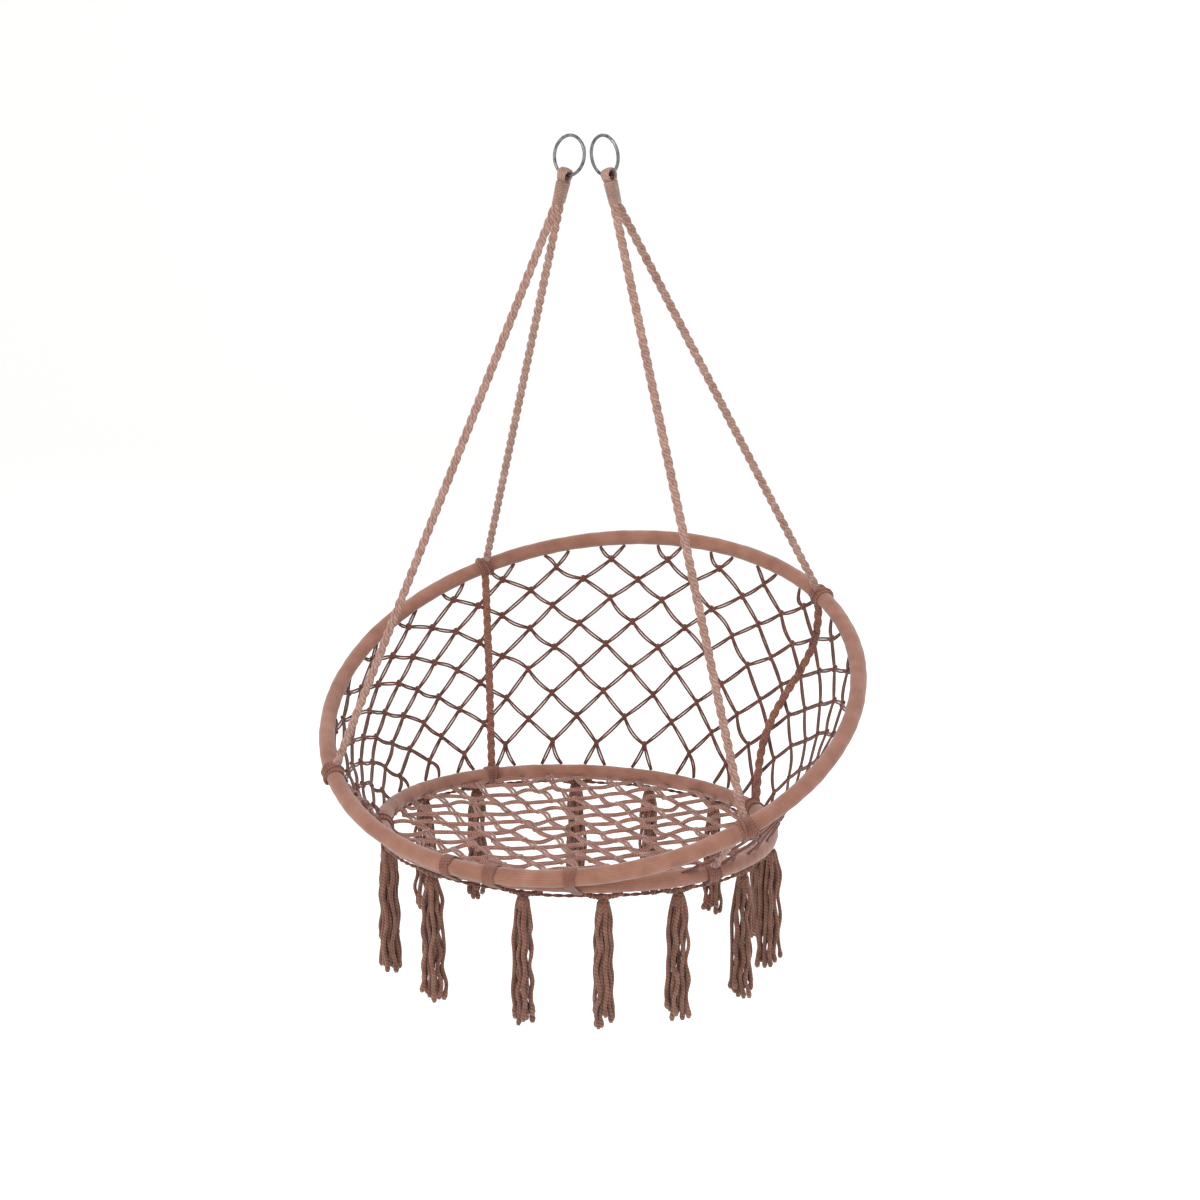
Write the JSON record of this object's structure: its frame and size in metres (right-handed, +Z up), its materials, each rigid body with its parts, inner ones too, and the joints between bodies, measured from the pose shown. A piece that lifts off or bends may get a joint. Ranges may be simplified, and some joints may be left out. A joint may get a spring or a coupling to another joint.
{
  "type": "hanging swing chair",
  "caption": "Hanging swing chair of two covered steel hoops, with a knotted cord back and seat, plaited ropes to steel rings, and a fringe of tassels.",
  "frame": {"origin": "midway between the points inside the tops of the two hanging rings where they bear on a hook", "axes": "+Z up, -Y towards the open front of the chair, +X to the right seen from the front"},
  "size_m": [0.8, 0.7392, 1.1984],
  "materials": {
    "ring_steel": "dull zinc-plated welded wire",
    "tube_steel": "bare tube, hidden by its cover",
    "hoop_cover": "fine knitted cotton sleeve",
    "rope_cotton": "soft plaited cotton rope",
    "net_cord": "twisted cotton cord",
    "tassel_cord": "loose twisted cotton cords"
  },
  "bodies": {
    "rings": {"left_hanging_ring": "ring_steel", "right_hanging_ring": "ring_steel"},
    "back": {"left_rope_eye": "rope_cotton", "right_rope_eye": "rope_cotton", "left_rope_binding": "rope_cotton", "right_rope_binding": "rope_cotton", "front_left_rope": "rope_cotton", "front_right_rope": "rope_cotton", "rear_left_rope": "rope_cotton", "rear_right_rope": "rope_cotton", "front_left_hitch": "rope_cotton", "front_right_hitch": "rope_cotton", "rear_left_hitch": "rope_cotton", "rear_right_hitch": "rope_cotton", "back_hoop_tube": "tube_steel", "back_hoop_cover": "hoop_cover", "back_net_left": "net_cord", "back_net_rear": "net_cord", "back_net_right": "net_cord", "front_left_lower_rope": "rope_cotton", "front_right_lower_rope": "rope_cotton", "rear_left_lower_rope": "rope_cotton", "rear_right_lower_rope": "rope_cotton", "front_lashing_centre": "rope_cotton", "front_lashing_left": "rope_cotton", "front_lashing_right": "rope_cotton"},
    "seat": {"seat_hoop_tube": "tube_steel", "seat_hoop_cover": "hoop_cover", "seat_net": "net_cord", "seat_edge_cord": "net_cord", "front_left_seat_hitch": "rope_cotton", "front_right_seat_hitch": "rope_cotton", "rear_left_seat_hitch": "rope_cotton", "rear_right_seat_hitch": "rope_cotton", "tassel_hangers": "tassel_cord"},
    "tassel_00": {"tassel_00": "tassel_cord"},
    "tassel_01": {"tassel_01": "tassel_cord"},
    "tassel_02": {"tassel_02": "tassel_cord"},
    "tassel_03": {"tassel_03": "tassel_cord"},
    "tassel_04": {"tassel_04": "tassel_cord"},
    "tassel_05": {"tassel_05": "tassel_cord"},
    "tassel_06": {"tassel_06": "tassel_cord"},
    "tassel_07": {"tassel_07": "tassel_cord"},
    "tassel_08": {"tassel_08": "tassel_cord"},
    "tassel_09": {"tassel_09": "tassel_cord"},
    "tassel_10": {"tassel_10": "tassel_cord"},
    "tassel_11": {"tassel_11": "tassel_cord"},
    "tassel_12": {"tassel_12": "tassel_cord"},
    "tassel_13": {"tassel_13": "tassel_cord"}
  },
  "joints": [
    {"name": "swing", "type": "hinge", "parent": "rings", "child": "back", "pos_m": [0, 0, -0.04949], "axis": [1, 0, 0], "range_deg": [-25, 25]},
    {"name": "seat_fold", "type": "hinge", "parent": "back", "child": "seat", "pos_m": [0, -0.31888, -0.95044], "axis": [1, 0, 0], "range_deg": [0, 24], "deforming": ["front_left_lower_rope", "front_right_lower_rope", "rear_left_lower_rope", "rear_right_lower_rope", "back_net_left", "back_net_rear", "back_net_right", "front_lashing_left", "front_lashing_right"]},
    {"name": "tassel_00_sway", "type": "hinge", "parent": "seat", "child": "tassel_00", "pos_m": [0.03412, -0.3168, -0.96878], "axis": [0.9925, 0.1219, 0], "range_deg": [-25, 25]},
    {"name": "tassel_01_sway", "type": "hinge", "parent": "seat", "child": "tassel_01", "pos_m": [0.13452, -0.28453, -0.97093], "axis": [0.877, 0.4804, 0], "range_deg": [-25, 25]},
    {"name": "tassel_02_sway", "type": "hinge", "parent": "seat", "child": "tassel_02", "pos_m": [0.21583, -0.21748, -0.97538], "axis": [0.637, 0.7708, 0], "range_deg": [-25, 25]},
    {"name": "tassel_03_sway", "type": "hinge", "parent": "seat", "child": "tassel_03", "pos_m": [0.27185, -0.10641, -0.98276], "axis": [0.2395, 0.9709, 0], "range_deg": [-25, 25]},
    {"name": "tassel_04_sway", "type": "hinge", "parent": "seat", "child": "tassel_04", "pos_m": [0.27298, 0.02267, -0.99133], "axis": [-0.2225, 0.9749, 0], "range_deg": [-25, 25]},
    {"name": "tassel_05_sway", "type": "hinge", "parent": "seat", "child": "tassel_05", "pos_m": [0.23056, 0.11903, -0.99773], "axis": [-0.5674, 0.8234, 0], "range_deg": [-25, 25]},
    {"name": "tassel_06_sway", "type": "hinge", "parent": "seat", "child": "tassel_06", "pos_m": [0.13022, 0.20783, -1.00363], "axis": [-0.8853, 0.4651, 0], "range_deg": [-25, 25]},
    {"name": "tassel_07_sway", "type": "hinge", "parent": "seat", "child": "tassel_07", "pos_m": [0.01465, 0.2395, -1.00573], "axis": [-0.9986, 0.0523, 0], "range_deg": [-25, 25]},
    {"name": "tassel_08_sway", "type": "hinge", "parent": "seat", "child": "tassel_08", "pos_m": [-0.10359, 0.22006, -1.00444], "axis": [-0.929, -0.37, 0], "range_deg": [-25, 25]},
    {"name": "tassel_09_sway", "type": "hinge", "parent": "seat", "child": "tassel_09", "pos_m": [-0.23056, 0.11903, -0.99773], "axis": [-0.5674, -0.8234, 0], "range_deg": [-25, 25]},
    {"name": "tassel_10_sway", "type": "hinge", "parent": "seat", "child": "tassel_10", "pos_m": [-0.27298, 0.02267, -0.99133], "axis": [-0.2225, -0.9749, 0], "range_deg": [-25, 25]},
    {"name": "tassel_11_sway", "type": "hinge", "parent": "seat", "child": "tassel_11", "pos_m": [-0.27298, -0.10167, -0.98307], "axis": [0.2225, -0.9749, 0], "range_deg": [-25, 25]},
    {"name": "tassel_12_sway", "type": "hinge", "parent": "seat", "child": "tassel_12", "pos_m": [-0.21269, -0.22121, -0.97513], "axis": [0.6504, -0.7596, 0], "range_deg": [-25, 25]},
    {"name": "tassel_13_sway", "type": "hinge", "parent": "seat", "child": "tassel_13", "pos_m": [-0.10812, -0.29722, -0.97008], "axis": [0.9224, -0.3861, 0], "range_deg": [-25, 25]}
  ]
}
